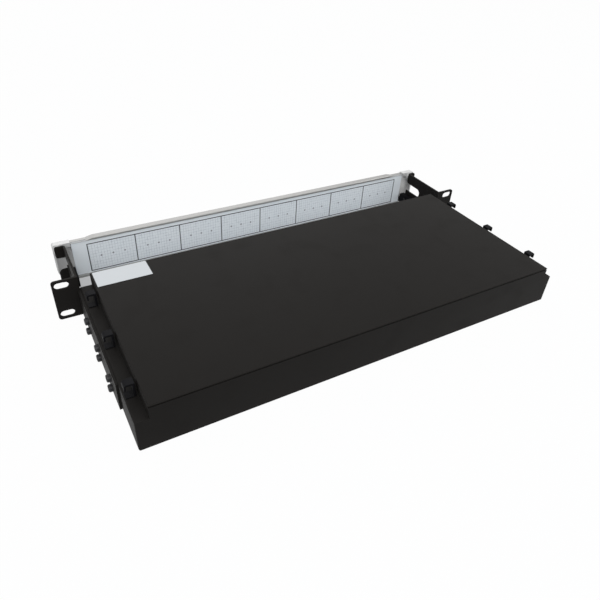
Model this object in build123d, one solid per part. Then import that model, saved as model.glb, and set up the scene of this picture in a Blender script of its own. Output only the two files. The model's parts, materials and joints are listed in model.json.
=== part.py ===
from build123d import *
import os

# A patch panel for 96 fibres, one rack unit high, with a hinged front door.
# Heights are drawn from the underside up. Each piece is lowered as it is written, so that
# the origin lies midway between the four rack slots, on the rear face of the ears.
# +X is the right hand of someone who faces the door, +Y runs to the back and +Z up.
# Pieces that have a twin on the left are drawn on the right and mirrored.

# Rack face
EAR_SPAN = 482.6
EAR_REACH = 23.7
PANEL_HEIGHT = 43.2
SLOT_INSET = 8.75
SLOT_RISE = 31.75
SLOT_LENGTH = 13.2
SLOT_WIDTH = 7.0
EAR_CORNER = 3.0

# Chassis and cover, folded from one gauge of sheet
BODY_FRONT = -1.7
BODY_REAR = 180.2
SHOULDER_WIDTH = 11.2
SHOULDER_DROP = 13.2
SHEET = 1.2
BEND = 1.6
SEAM = 0.3
COVER_HEM = 8.0
COVER_EDGE = 1.0
COVER_LIP_DROP = 10.0
REAR_FLANGE_DROP = 6.0
REAR_SEAM = 1.0

# Side brackets with their ears and the forks that carry the door
BRACKET_SHEET = 2.0
BRACKET_REAR_INSET = 44.6
BRACKET_DROP = 1.0
FORK_REACH = 61.2
FORK_ROOT = 33.7
UPPER_ARM = 12.7
UPPER_ARM_CORNER = 5.0
FORK_GAP = 10.5
TAB_WIDTH = 10.4
LOWER_TAB_DROP = 3.5
LOWER_TAB_CORNER = 5.0
FORK_BEND = 2.5

# Machine screws: pan heads on the brackets and on the cover
THREAD_DIAMETER = 3.0
THREAD_LENGTH = 6.0
HEAD_DIAMETER = 6.8
HEAD_HEIGHT = 3.4
HEAD_EDGE = 1.3
RECESS_WIDTH = 0.8
RECESS_SPAN = 3.2
RECESS_DEPTH = 1.2
SCREW_FIT = 0.1
SCREW_FIRST = 33.8
SCREW_PITCH = 39.5
SCREW_COLUMNS = 3
SCREW_LOW = 5.0
SCREW_RISE = 11.3

# Cable hooks on the shoulders
HOOK_COUNT = 3
HOOK_FIRST = 26.4
HOOK_PITCH = 60.5
HOOK_LENGTH = 7.2
HOOK_INSET = 2.0
HOOK_REACH = 8.3
HOOK_RISE = 0.8
HOOK_BAR = 2.0
HOOK_POST = 1.8
HOOK_FOOT = 1.0
HOOK_LIP = 1.6
HOOK_LIP_DROP = 6.0
HOOK_BEND = 2.6
HOOK_EDGE = 0.6
HOOK_PEG = 3.6

# Door: a long section with a moulded cap at each end
DOOR_END = 1.2
DOOR_STANDOFF = 3.1
DOOR_DEPTH = 7.5
DOOR_RISE = 0.3
DOOR_WALL = 2.0
DOOR_RAIL_GAP = 0.4
DOOR_TOP_BAR = 3.1
DOOR_EDGE = 1.4
DOOR_NOTCH_LENGTH = 24.6
DOOR_NOTCH_RAMP = 9.0
DOOR_NOTCH_DROP = 2.3
DOOR_FOOT_REACH = 10.0
DOOR_LOWER_CORNER = 14.0
DOOR_UPPER_CORNER = 2.0
CAP_STEP = 0.6
CAP_WALL = 1.5
CAP_TOP = 4.6
CAP_TONGUE = 12.0
CAP_TONGUE_RISE = 22.0

# Hinge
HINGE_OFFSET = 5.0
PIN_DIAMETER = 3.0
PIN_PRESS = 0.02
PIN_RUNNING = 0.05
KNUCKLE_RADIUS = 2.7
BOSS_RADIUS = 3.2
HINGE_BLOCK_WIDTH = 5.2
HINGE_ARM_HEIGHT = 5.6
HINGE_PLATE_REACH = 20.8
HINGE_PLATE_HEIGHT = 12.6
RIVET_RISE = 7.6
RIVET_PITCH = 7.5
PIN_GRIP = 7.4
MOVING_GAP = 0.3

# Magnetic catches
MAGNET_DIAMETER = 8.0
MAGNET_THICKNESS = 3.0
MAGNET_WALL = 1.2

# Label carrier behind the door, and the blank labels
PANEL_THICKNESS = 1.6
PAPER = 0.2
GROOVE_LIP = 0.8
LABEL_WIDTH = 50.5
LABEL_DEPTH = 25.5
LABEL_INSET = 1.9

# Cassettes and the upright dividers between them
LANE_GAP = 4.5
DIVIDER = 1.6
DIVIDER_TAIL = 3.0
DIVIDER_FOOT = 10.0
DIVIDER_FOOT_INSET = 12.0
CASSETTE_GAP = 0.3
CASSETTE_SETBACK = 4.5
CASSETTE_WALL = 1.6
LID = 1.4
LID_RIM = 1.0
LID_RIM_DEPTH = 2.0
PULL_WIDTH = 18.0
PULL_REACH = 8.0
PULL_THICKNESS = 1.8
PULL_CORNER = 2.6

# Duplex adapters in the cassette fronts, and the multi-fibre adapter at each back
PORT_COLUMNS = 3
PORT_ROWS = 2
PORT_ROW_PITCH = 15.5
PORT_GAP = 0.6
ADAPTER_WIDTH = 12.8
ADAPTER_HEIGHT = 9.3
ADAPTER_PROUD = 6.0
ADAPTER_INSIDE = 20.0
FLANGE_RIM = 0.6
FLANGE = 1.2
ADAPTER_FIT = 0.1
PORT_PITCH = 6.25
PORT_WIDTH = 4.9
PORT_HEIGHT = 6.6
PORT_DEPTH = 9.0
TRUNK_WIDTH = 12.4
TRUNK_HEIGHT = 7.4
TRUNK_PROUD = 8.0
TRUNK_INSIDE = 12.0
TRUNK_PORT_WIDTH = 9.8
TRUNK_PORT_HEIGHT = 4.8
PLUG_FIT = 0.1
PLUG_LENGTH = 7.0
CAP_HEAD = 5.0
CAP_INSET = 0.5
CAP_EDGE = 0.8
TRUNK_ROOM = 5.8

# Fibre spools and trunk clips on the floor
SPOOL_PLACE = 100.0
SPOOL_RADIUS = 22.0
SPOOL_WALL = 1.6
SPOOL_RIM = 8.0
SPOOL_RIM_WIDTH = 8.0
SPOOL_HEADROOM = 10.8
SPOOL_BASE = 1.6
SPOOL_REAR_GAP = 2.4
STUD_RADIUS = 3.0
CLIP_PLACE = 50.8
CLIP_CABLE = 7.0
CLIP_WALL = 1.6
CLIP_WIDTH = 8.0
CLIP_MOUTH = 5.2
CLIP_STEM = 2.0

# Excess that carries a cut past the face it opens
OVERCUT = 1.0

# Places that the sizes above settle
slot_place = EAR_SPAN / 2 - SLOT_INSET
body_half = EAR_SPAN / 2 - EAR_REACH
shoulder_height = PANEL_HEIGHT - SHOULDER_DROP
bracket_face = body_half + BRACKET_SHEET
bracket_rear = BODY_REAR - BRACKET_REAR_INSET
bracket_height = shoulder_height - BRACKET_DROP
upper_half = body_half - SHOULDER_WIDTH
upstand_half = upper_half - SHEET - SEAM
rim_height = PANEL_HEIGHT - SHEET - SEAM
rear_wall_top = PANEL_HEIGHT - SHEET - REAR_SEAM
upstand_front = BODY_FRONT + SHEET + SEAM
cover_screw_x = upstand_half - SHEET - THREAD_DIAMETER / 2 - SCREW_FIT
cover_screw_z = PANEL_HEIGHT - SHEET - COVER_LIP_DROP / 2
cover_lip_inner = cover_screw_x - HEAD_DIAMETER / 2 - SEAM
slot_height = PANEL_HEIGHT / 2
fork_gap_top = PANEL_HEIGHT - UPPER_ARM
fork_gap_bottom = fork_gap_top - FORK_GAP
fork_gap_centre = -(FORK_ROOT + FORK_GAP / 2)
tab_edge = body_half + TAB_WIDTH
tab_centre_x = (bracket_face + tab_edge) / 2
tab_centre_z = (fork_gap_top + PANEL_HEIGHT) / 2
hook_top = PANEL_HEIGHT + HOOK_RISE
hook_inner = upper_half + HOOK_INSET
hook_outer = hook_inner + HOOK_REACH

door_half = tab_edge + DOOR_END
door_top = PANEL_HEIGHT + DOOR_RISE
door_back = -FORK_REACH - DOOR_STANDOFF
door_face = door_back - DOOR_DEPTH
door_inside = door_face + DOOR_WALL
cap_top = door_top - CAP_STEP
hinge_block_inner = body_half - HINGE_BLOCK_WIDTH
hinge_plate_front = door_back + MOVING_GAP
hinge_plate_rear = hinge_plate_front + HINGE_PLATE_REACH
hinge_y = door_face + HINGE_OFFSET
hinge_z = HINGE_OFFSET
rail_half = hinge_block_inner - DOOR_RAIL_GAP
notch_start = rail_half - DOOR_NOTCH_LENGTH
groove_back = door_back - GROOVE_LIP
panel_back = groove_back - SEAM
panel_front = panel_back - PANEL_THICKNESS
panel_bottom = DOOR_WALL - GROOVE_LIP + SEAM
panel_top = door_top - DOOR_TOP_BAR + GROOVE_LIP - SEAM
hinge_floor = hinge_z - KNUCKLE_RADIUS
pin_end = body_half + PIN_GRIP
swing_radius = -FORK_REACH - hinge_y - 2 * MOVING_GAP

spool_reach = SPOOL_RADIUS + SPOOL_RIM
spool_y = BODY_REAR - SHEET - SPOOL_REAR_GAP - spool_reach
spool_top = PANEL_HEIGHT - SHEET - SPOOL_HEADROOM
bay_half = upstand_half - SHEET - LANE_GAP
port_need = ADAPTER_WIDTH + 2 * FLANGE_RIM + PORT_GAP
cassette_need = PORT_COLUMNS * port_need + 2 * CASSETTE_WALL + 2 * CASSETTE_GAP + DIVIDER
cassette_count = int((2 * bay_half - DIVIDER) // cassette_need)
cassette_pitch = (2 * bay_half - DIVIDER) / cassette_count
cassette_width = cassette_pitch - DIVIDER - 2 * CASSETTE_GAP
cassette_front = BODY_FRONT + CASSETTE_SETBACK
cassette_rear = spool_y - spool_reach - TRUNK_ROOM - CAP_HEAD - TRUNK_PROUD
divider_rear = cassette_rear + DIVIDER_TAIL
cassette_bottom = SHEET + CASSETTE_GAP
cassette_top = PANEL_HEIGHT - 2 * SHEET - CASSETTE_GAP
lid_bottom = cassette_top - LID
port_column_pitch = (cassette_width - 2 * CASSETTE_WALL) / PORT_COLUMNS
port_middle = (cassette_bottom + lid_bottom) / 2
lane_middle = (bay_half + body_half - SHEET) / 2


def block(x_range, y_range, z_range):
    """A box between a low and a high value on each axis."""
    sizes = [high - low for low, high in (x_range, y_range, z_range)]
    middles = [(low + high) / 2 for low, high in (x_range, y_range, z_range)]
    return Pos(*middles) * Box(*sizes)


def rod(start, direction, radius, length):
    """A round bar that starts at a point and runs along a direction."""
    place = Plane(origin=start, z_dir=direction)
    return place * Cylinder(radius, length, align=(Align.CENTER, Align.CENTER, Align.MIN))


def around(middle, width):
    """The low and high value of a width about its middle."""
    return (middle - width / 2, middle + width / 2)


def facing_plate(outline, back, thickness):
    """A flat outline, drawn across and up, pushed forward from a depth."""
    return extrude(Plane(origin=(0, back, 0), x_dir=(1, 0, 0), z_dir=(0, -1, 0)) * outline, thickness)


def side_section(outline, middle, half_width):
    """An outline drawn in depth and height, pushed both ways from a place across."""
    place = Plane(origin=(middle, 0, 0), x_dir=(0, 1, 0), z_dir=(1, 0, 0))
    return extrude(place * outline, half_width, both=True)


def round_corner(face, corner, radius):
    """Round the one corner of a flat outline that lies at a given point."""
    vertex = face.vertices().sort_by_distance((*corner, 0))[0]
    return fillet(vertex, radius)


def to_left(shape):
    """The left twin of a piece drawn on the right."""
    return mirror(shape, Plane.YZ)


def group(shapes):
    """Several loose solids as one node."""
    return Compound([solid for shape in shapes for solid in shape.solids()])


def write(name, shape):
    """Lower a piece to the frame of the rack slots and write it."""
    export_step(Pos(0, 0, -slot_height) * shape, f"parts/{name}.step")


def hook_fronts():
    """Where each cable hook starts, from the front to the back."""
    return [HOOK_FIRST + HOOK_PITCH * index for index in range(HOOK_COUNT)]


def hook_peg_ranges(front):
    """The footprint of the peg under a hook."""
    return around((hook_inner + hook_outer) / 2, HOOK_PEG), around(front + HOOK_LENGTH / 2, HOOK_PEG)


def screw_places():
    """Where the bracket screws go, as pairs of depth and height."""
    depths = [SCREW_FIRST + SCREW_PITCH * index for index in range(SCREW_COLUMNS)]
    return [(depth, height) for depth in depths for height in (SCREW_LOW, SCREW_LOW + SCREW_RISE)]


def divider_places():
    """The middle of each upright divider."""
    return [-bay_half + DIVIDER / 2 + cassette_pitch * index for index in range(cassette_count + 1)]


def divider_feet():
    """The two stretches along a divider that drop through the floor."""
    first = cassette_front + DIVIDER_FOOT_INSET
    last = divider_rear - DIVIDER_FOOT_INSET - DIVIDER_FOOT
    return [(start, start + DIVIDER_FOOT) for start in (first, last)]


def machine_screw(seat, inward, upright):
    """A pan-head screw whose head stands off its seat, against the inward direction."""
    outward = tuple(-part for part in inward)
    head = rod(seat, outward, HEAD_DIAMETER / 2, HEAD_HEIGHT)
    head = fillet(head.edges().sort_by(Axis(seat, outward))[-1], HEAD_EDGE)
    thread = rod(seat, inward, THREAD_DIAMETER / 2, THREAD_LENGTH)
    top = tuple(place + part * HEAD_HEIGHT for place, part in zip(seat, outward))
    face = Plane(origin=top, x_dir=upright, z_dir=outward)
    recess = Box(RECESS_SPAN, RECESS_WIDTH, 2 * RECESS_DEPTH)
    recess += Box(RECESS_WIDTH, RECESS_SPAN, 2 * RECESS_DEPTH)
    return head + thread - face * recess


def base_pan():
    """Floor, low side walls, shoulders, upstands and rear wall, folded from one sheet."""
    lower = block((-body_half, body_half), (BODY_FRONT, BODY_REAR), (0, shoulder_height))
    rear_corners = lower.edges().filter_by(Axis.Z).sort_by(Axis.Y)[-2:]
    lower = fillet(lower.edges().filter_by(Axis.Y) + rear_corners, BEND)
    neck = block((-upstand_half, upstand_half), (upstand_front, BODY_REAR - SHEET),
                 (shoulder_height - BEND, rim_height))
    back = block((-upper_half, upper_half), (BODY_REAR - SHEET, BODY_REAR),
                 (shoulder_height - BEND, rear_wall_top))
    inside_y = (BODY_FRONT - SHEET, BODY_REAR - SHEET)
    wide_room = block((SHEET - body_half, body_half - SHEET), inside_y, (SHEET, shoulder_height - SHEET))
    tall_room = block((SHEET - upstand_half, upstand_half - SHEET), inside_y, (SHEET, PANEL_HEIGHT))
    pan = lower + neck + back - wide_room - tall_room
    ear_tab = block((cover_lip_inner, upstand_half), (upstand_front, upstand_front + SHEET),
                    (shoulder_height - SHEET, rim_height))
    pan = pan + ear_tab + to_left(ear_tab)
    return pan - pan_openings()


def pan_openings():
    """Every hole in the base pan: screws, hook pegs, divider feet, spools and clips."""
    hole = THREAD_DIAMETER / 2 + SCREW_FIT
    right = []
    for depth, height in screw_places():
        right.append(rod((body_half + SHEET, depth, height), (-1, 0, 0), hole, 3 * SHEET))
    for front in hook_fronts():
        peg_x, peg_y = hook_peg_ranges(front)
        right.append(block((peg_x[0] - SCREW_FIT, peg_x[1] + SCREW_FIT),
                           (peg_y[0] - SCREW_FIT, peg_y[1] + SCREW_FIT),
                           (shoulder_height - 2 * SHEET, shoulder_height + SHEET)))
    right.append(rod((cover_screw_x, BODY_FRONT, cover_screw_z), (0, 1, 0), hole, 4 * SHEET))
    for place in ((SPOOL_PLACE, spool_y), (lane_middle, CLIP_PLACE)):
        right.append(rod((*place, -SHEET), (0, 0, 1), STUD_RADIUS + SCREW_FIT, 3 * SHEET))
    middle = []
    for place in divider_places():
        for start, end in divider_feet():
            middle.append(block(around(place, DIVIDER + 2 * SCREW_FIT),
                                (start - SCREW_FIT, end + SCREW_FIT), (-SHEET, 2 * SHEET)))
    return right + [to_left(shape) for shape in right] + middle


def top_cover():
    """The top sheet with its side flanges, front hem, front lips and rear flange."""
    bottom = shoulder_height + SEAM
    under = PANEL_HEIGHT - SHEET
    outer = block((-upper_half, upper_half), (BODY_FRONT, BODY_REAR), (bottom, PANEL_HEIGHT))
    outer = fillet(outer.faces().sort_by(Axis.Z)[-1].edges(), COVER_EDGE)
    room = block((SHEET - upper_half, upper_half - SHEET), (BODY_FRONT - SHEET, BODY_REAR + SHEET),
                 (0, under))
    behind = block((-body_half, body_half), (BODY_REAR - SHEET - SEAM, BODY_REAR + SHEET), (0, under))
    hem = block((SHEET - upper_half, upper_half - SHEET), (BODY_FRONT + BEND, BODY_FRONT + COVER_HEM),
                (under - SHEET, under))
    lip = block((cover_lip_inner, upper_half - SHEET), (BODY_FRONT, BODY_FRONT + SHEET),
                (under - COVER_LIP_DROP, under))
    flange_back = BODY_REAR - SHEET - SEAM
    flange = block((-bay_half, bay_half), (flange_back - SHEET, flange_back),
                   (under - REAR_FLANGE_DROP, under))
    cover = outer - room - behind + hem + lip + to_left(lip) + flange
    hole = rod((cover_screw_x, BODY_FRONT - SHEET, cover_screw_z), (0, 1, 0),
               THREAD_DIAMETER / 2 + SCREW_FIT, 3 * SHEET)
    upstand_top = block((upstand_half - SHEET - SEAM, upstand_half + SEAM),
                        (upstand_front - SEAM, upstand_front + COVER_HEM + SEAM), (0, under))
    tab_top = block((cover_lip_inner - SEAM, upstand_half + SEAM),
                    (upstand_front - SEAM, upstand_front + SHEET + SEAM), (0, under))
    clearings = [hole, upstand_top, tab_top]
    return cover - clearings - [to_left(shape) for shape in clearings]


def cover_screws():
    """The two screws that hold the cover lips to the base pan."""
    screw = machine_screw((cover_screw_x, BODY_FRONT, cover_screw_z), (0, 1, 0), (0, 0, 1))
    return group([screw, to_left(screw)])


def fork_arm(z_range, tab_z_range, corners):
    """One arm of the fork, bent outwards at its front into a tab with rounded corners."""
    arm = block((body_half, bracket_face), (-FORK_REACH, fork_gap_centre), z_range)
    low, high = tab_z_range
    outline = Pos((body_half + tab_edge) / 2, (low + high) / 2) * Rectangle(TAB_WIDTH, high - low)
    for height, radius in zip(tab_z_range, corners):
        outline = round_corner(outline, (tab_edge, height), radius)
    tab = facing_plate(outline, BRACKET_SHEET - FORK_REACH, BRACKET_SHEET)
    past = (z_range[0] - OVERCUT, z_range[1] + OVERCUT)
    fold = block((0, body_half + FORK_BEND), (-FORK_REACH - FORK_BEND, FORK_BEND - FORK_REACH), past)
    fold -= rod((body_half + FORK_BEND, FORK_BEND - FORK_REACH, past[0]), (0, 0, 1), FORK_BEND,
                past[1] - past[0])
    return arm + tab - fold


def right_bracket():
    """Side plate, rack ear and door fork of the right bracket."""
    flank = block((body_half, bracket_face), (-BRACKET_SHEET, bracket_rear), (0, bracket_height))
    flank = fillet(flank.edges().filter_by(Axis.X).sort_by(Axis.Y)[-2:], BRACKET_SHEET)
    root = block((body_half, bracket_face), (fork_gap_centre, 0), (0, PANEL_HEIGHT))
    upper = fork_arm((fork_gap_top, PANEL_HEIGHT), (fork_gap_top, PANEL_HEIGHT), (FORK_BEND, FORK_BEND))
    corner_y, corner_z = UPPER_ARM_CORNER - FORK_REACH, fork_gap_top + UPPER_ARM_CORNER
    rounding = block((body_half - OVERCUT, bracket_face), (-FORK_REACH - OVERCUT, corner_y),
                     (fork_gap_top - OVERCUT, corner_z))
    upper -= rounding - rod((body_half - OVERCUT, corner_y, corner_z), (1, 0, 0), UPPER_ARM_CORNER,
                            BRACKET_SHEET + 2 * OVERCUT)
    lower = fork_arm((0, fork_gap_bottom), (SHEET, fork_gap_bottom - LOWER_TAB_DROP),
                     (BRACKET_SHEET, LOWER_TAB_CORNER))
    ear = block((body_half, EAR_SPAN / 2), (-BRACKET_SHEET, 0), (0, PANEL_HEIGHT))
    ear = fillet(ear.edges().filter_by(Axis.Y).sort_by(Axis.X)[-2:], EAR_CORNER)
    bracket = flank + root + upper + lower + ear
    bracket -= rod((body_half - OVERCUT, fork_gap_centre, fork_gap_bottom + FORK_GAP / 2), (1, 0, 0),
                   FORK_GAP / 2, BRACKET_SHEET + 2 * OVERCUT)
    for side in (-1, 1):
        height = slot_height + side * SLOT_RISE / 2
        straight = (SLOT_LENGTH - SLOT_WIDTH) / 2
        for shift in (-straight, straight):
            bracket -= rod((slot_place + shift, -2 * BRACKET_SHEET, height), (0, 1, 0), SLOT_WIDTH / 2,
                           3 * BRACKET_SHEET)
        bracket -= block(around(slot_place, 2 * straight), (-2 * BRACKET_SHEET, BRACKET_SHEET),
                         around(height, SLOT_WIDTH))
    for depth, height in screw_places():
        bracket -= rod((body_half - OVERCUT, depth, height), (1, 0, 0), THREAD_DIAMETER / 2 + SCREW_FIT,
                       BRACKET_SHEET + 2 * OVERCUT)
    for rivet in right_rivets(SCREW_FIT):
        bracket -= rivet
    return bracket


def right_bracket_screws():
    """The pan-head screws that hold the right bracket to the base pan."""
    return [machine_screw((bracket_face, depth, height), (-1, 0, 0), (0, 0, 1))
            for depth, height in screw_places()]


def cable_hook(front):
    """A moulded clip on the shoulder: foot, post, top bar, turned-down lip, and a peg below."""
    foot_top = shoulder_height + HOOK_FOOT
    under = hook_top - HOOK_BAR
    post_face = hook_inner + HOOK_POST
    lip_face = hook_outer - HOOK_LIP
    lip_bottom = hook_top - HOOK_LIP_DROP
    outline = Polyline((hook_inner, shoulder_height), (hook_inner, hook_top), (hook_outer, hook_top),
                       (hook_outer, lip_bottom), (lip_face, lip_bottom), (lip_face, under),
                       (post_face, under), (post_face, foot_top), (hook_outer, foot_top),
                       (hook_outer, shoulder_height), close=True)
    face = round_corner(make_face(outline), (hook_outer, hook_top), HOOK_BEND)
    face = round_corner(face, (hook_inner, hook_top), HOOK_EDGE)
    face = round_corner(face, (post_face, under), HOOK_EDGE)
    clip = facing_plate(face, front + HOOK_LENGTH, HOOK_LENGTH)
    peg_x, peg_y = hook_peg_ranges(front)
    return clip + block(peg_x, peg_y, (shoulder_height - 2 * SHEET, shoulder_height + HOOK_FOOT / 2))


def front_door():
    """The door's long section: web, rounded top bar and curved foot, both grooved for the carrier."""
    bar_bottom = door_top - DOOR_TOP_BAR
    bar = Pos((door_face + door_back) / 2, door_top - DOOR_TOP_BAR / 2) * RectangleRounded(
        DOOR_DEPTH, DOOR_TOP_BAR, DOOR_EDGE)
    web = Pos(door_face + DOOR_WALL / 2, (hinge_z + bar_bottom + DOOR_TOP_BAR / 2) / 2) * Rectangle(
        DOOR_WALL, bar_bottom + DOOR_TOP_BAR / 2 - hinge_z)
    curve = Circle(HINGE_OFFSET) - Circle(HINGE_OFFSET - DOOR_WALL)
    curve &= Pos(-HINGE_OFFSET / 2, -HINGE_OFFSET / 2) * Rectangle(HINGE_OFFSET, HINGE_OFFSET)
    curve = Pos(hinge_y, hinge_z) * curve
    foot_end = door_face + DOOR_FOOT_REACH
    foot = Pos((hinge_y + foot_end) / 2, DOOR_WALL / 2) * Rectangle(foot_end - hinge_y, DOOR_WALL)
    section = bar + web + curve + foot
    for height in (DOOR_WALL, bar_bottom):
        section -= Pos((panel_front - SEAM + groove_back) / 2, height) * Rectangle(
            groove_back - panel_front + SEAM, 2 * GROOVE_LIP)
    rail = side_section(section, 0, rail_half)
    notch_floor = door_top - DOOR_NOTCH_DROP
    notch_end = rail_half + OVERCUT
    notch = Polyline((notch_start, door_top), (notch_start + DOOR_NOTCH_RAMP, notch_floor),
                     (notch_end, notch_floor), (notch_end, door_top + OVERCUT),
                     (notch_start, door_top + OVERCUT), close=True)
    notch = facing_plate(make_face(notch), door_back + OVERCUT, DOOR_DEPTH + 2 * OVERCUT)
    return rail - notch - to_left(notch)


def right_door_cap():
    """The moulded end of the door, hollow at the back, with its hinge boss and magnet cup."""
    outline = Pos((rail_half + door_half) / 2, cap_top / 2) * Rectangle(door_half - rail_half, cap_top)
    outline = round_corner(outline, (door_half, 0), DOOR_LOWER_CORNER)
    outline = round_corner(outline, (door_half, cap_top), DOOR_UPPER_CORNER)
    shell = facing_plate(outline, door_back, DOOR_DEPTH)
    rim = shell.faces().sort_by(Axis.Y)[0].edges()
    rim = [edge for edge in rim if edge.center().X > rail_half + OVERCUT]
    shell = fillet(rim, DOOR_EDGE)
    hollow = Pos((rail_half + door_half) / 2 - CAP_WALL, cap_top / 2 - CAP_TOP) * Rectangle(
        door_half - rail_half, cap_top)
    hollow = round_corner(hollow, (door_half - CAP_WALL, -CAP_TOP), DOOR_LOWER_CORNER)
    hollow = facing_plate(hollow, door_back + OVERCUT, door_back + OVERCUT - door_inside)
    floor_wall = block((rail_half - OVERCUT, door_half + OVERCUT), (door_face, door_back + 2 * OVERCUT),
                       (-door_top, DOOR_WALL))
    shell -= hollow - floor_wall
    tongue = block((rail_half - CAP_TONGUE, rail_half + CAP_WALL), (door_inside + SEAM, panel_front - SEAM),
                   around(door_top / 2, CAP_TONGUE_RISE))
    tongue += block((rail_half, rail_half + CAP_WALL), (door_inside, panel_front - SEAM),
                    around(door_top / 2, CAP_TONGUE_RISE))
    boss = rod((body_half + MOVING_GAP, hinge_y, hinge_z), (1, 0, 0), BOSS_RADIUS, PIN_GRIP + CAP_WALL)
    boss += block((body_half + MOVING_GAP, body_half + MOVING_GAP + PIN_GRIP + CAP_WALL),
                  (door_inside - SEAM, hinge_y), around(hinge_z, 2 * BOSS_RADIUS))
    cup_radius = MAGNET_DIAMETER / 2 + MAGNET_WALL
    cup_end = -FORK_REACH - MOVING_GAP - MAGNET_WALL / 2
    cup = rod((tab_centre_x, door_inside, tab_centre_z), (0, 1, 0), cup_radius, cup_end - door_inside)
    cap = shell + tongue + boss + cup
    cap -= block((rail_half - OVERCUT, body_half + MOVING_GAP), (hinge_y - KNUCKLE_RADIUS - MOVING_GAP, 0),
                 (-OVERCUT, 2 * hinge_z))
    cap -= rod((body_half, hinge_y, hinge_z), (1, 0, 0), PIN_DIAMETER / 2 + PIN_RUNNING,
               PIN_GRIP + MOVING_GAP)
    swing = block((rail_half, door_half + OVERCUT), (hinge_y, 0), (-OVERCUT, hinge_z))
    cap -= swing - rod((rail_half - OVERCUT, hinge_y, hinge_z), (1, 0, 0), swing_radius,
                       door_half - rail_half + 3 * OVERCUT)
    cap -= rod((tab_centre_x, magnet_bed(), tab_centre_z), (0, 1, 0), MAGNET_DIAMETER / 2 + PIN_PRESS,
               2 * MAGNET_THICKNESS)
    return cap


def magnet_bed():
    """Depth at which a magnet rests in its cup."""
    return -FORK_REACH - MOVING_GAP - MAGNET_THICKNESS


def right_magnet():
    """The round magnet that meets the upper tab of the fork."""
    return rod((tab_centre_x, magnet_bed(), tab_centre_z), (0, 1, 0), MAGNET_DIAMETER / 2, MAGNET_THICKNESS)


def right_hinge_block():
    """The knuckle in front of the fork and the plate riveted inside its lower arm."""
    sides = (hinge_block_inner, body_half)
    knuckle = rod((hinge_block_inner, hinge_y, hinge_z), (1, 0, 0), KNUCKLE_RADIUS, HINGE_BLOCK_WIDTH)
    arm = block(sides, (hinge_y, hinge_plate_rear), (hinge_floor, hinge_floor + HINGE_ARM_HEIGHT))
    plate = block(sides, (hinge_plate_front, hinge_plate_rear),
                  (hinge_floor, hinge_floor + HINGE_PLATE_HEIGHT))
    plate = fillet(plate.edges().filter_by(Axis.X).sort_by(Axis.Z)[-2:], BRACKET_SHEET)
    body = knuckle + arm + plate
    body -= rod((hinge_block_inner - OVERCUT, hinge_y, hinge_z), (1, 0, 0), PIN_DIAMETER / 2 + PIN_PRESS,
                HINGE_BLOCK_WIDTH + 2 * OVERCUT)
    for rivet in right_rivets(PIN_PRESS):
        body -= rivet
    return body


def right_hinge_pin():
    """The steel pin that the knuckle holds and the door cap turns on."""
    return rod((hinge_block_inner, hinge_y, hinge_z), (1, 0, 0), PIN_DIAMETER / 2,
               pin_end - hinge_block_inner)


def right_rivets(clearance=0.0):
    """Two flush rivets through the hinge plate and the lower arm, or the holes for them."""
    height = hinge_floor + RIVET_RISE
    middle = hinge_plate_rear - RIVET_PITCH
    return [rod((hinge_block_inner, depth, height), (1, 0, 0), PIN_DIAMETER / 2 + clearance,
                bracket_face - hinge_block_inner)
            for depth in around(middle, RIVET_PITCH)]


def label_panel():
    """The flat carrier that stands in the door between the groove and the foot."""
    half = rail_half - 2 * SEAM
    return block((-half, half), (panel_front, panel_back - PAPER), (panel_bottom, panel_top))


def label_sheet():
    """The printed port sheet on the inner face of the carrier."""
    half = rail_half - 2 * SEAM
    return block((-half, half), (panel_back - PAPER, panel_back), (panel_bottom, panel_top))


def asset_label():
    """A bare sticker on the front corner of the cover."""
    edge = upper_half - LABEL_INSET
    return block((edge - LABEL_WIDTH, edge), (BODY_FRONT + SHEET, BODY_FRONT + LABEL_DEPTH),
                 (PANEL_HEIGHT, PANEL_HEIGHT + PAPER))


def cassette_divider(place):
    """An upright plate between two cassettes, with two feet through the floor."""
    plate = block(around(place, DIVIDER), (cassette_front, divider_rear), (SHEET, cassette_top))
    for start, end in divider_feet():
        plate += block(around(place, DIVIDER), (start, end), (0, SHEET))
    return plate


def port_places(middle):
    """The middle of each front adapter of a cassette, as pairs of across and height."""
    columns = [middle + port_column_pitch * (index - (PORT_COLUMNS - 1) / 2) for index in range(PORT_COLUMNS)]
    rows = [port_middle + PORT_ROW_PITCH * (index - (PORT_ROWS - 1) / 2) for index in range(PORT_ROWS)]
    return [(across, height) for height in rows for across in columns]


def cassette_body(middle):
    """The tray of a cassette with its adapter openings and front pull."""
    sides = around(middle, cassette_width)
    tray = block(sides, (cassette_front, cassette_rear), (cassette_bottom, lid_bottom))
    tray = fillet(tray.edges().filter_by(Axis.Z), CASSETTE_WALL / 2)
    tray -= block((sides[0] + CASSETTE_WALL, sides[1] - CASSETTE_WALL),
                  (cassette_front + CASSETTE_WALL, cassette_rear - CASSETTE_WALL),
                  (cassette_bottom + CASSETTE_WALL, cassette_top))
    for across, height in port_places(middle):
        tray -= block(around(across, ADAPTER_WIDTH + 2 * ADAPTER_FIT),
                      (cassette_front - OVERCUT, cassette_front + CASSETTE_WALL + OVERCUT),
                      around(height, ADAPTER_HEIGHT + 2 * ADAPTER_FIT))
    tray -= block(around(middle, TRUNK_WIDTH + 2 * ADAPTER_FIT),
                  (cassette_rear - CASSETTE_WALL - OVERCUT, cassette_rear + OVERCUT),
                  around(port_middle, TRUNK_HEIGHT + 2 * ADAPTER_FIT))
    pull = block(around(middle, PULL_WIDTH), (cassette_front - PULL_REACH, cassette_front + CASSETTE_WALL),
                 (cassette_bottom, cassette_bottom + PULL_THICKNESS))
    pull = fillet(pull.edges().filter_by(Axis.Z).sort_by(Axis.Y)[:2], PULL_CORNER)
    return tray + pull


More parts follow.
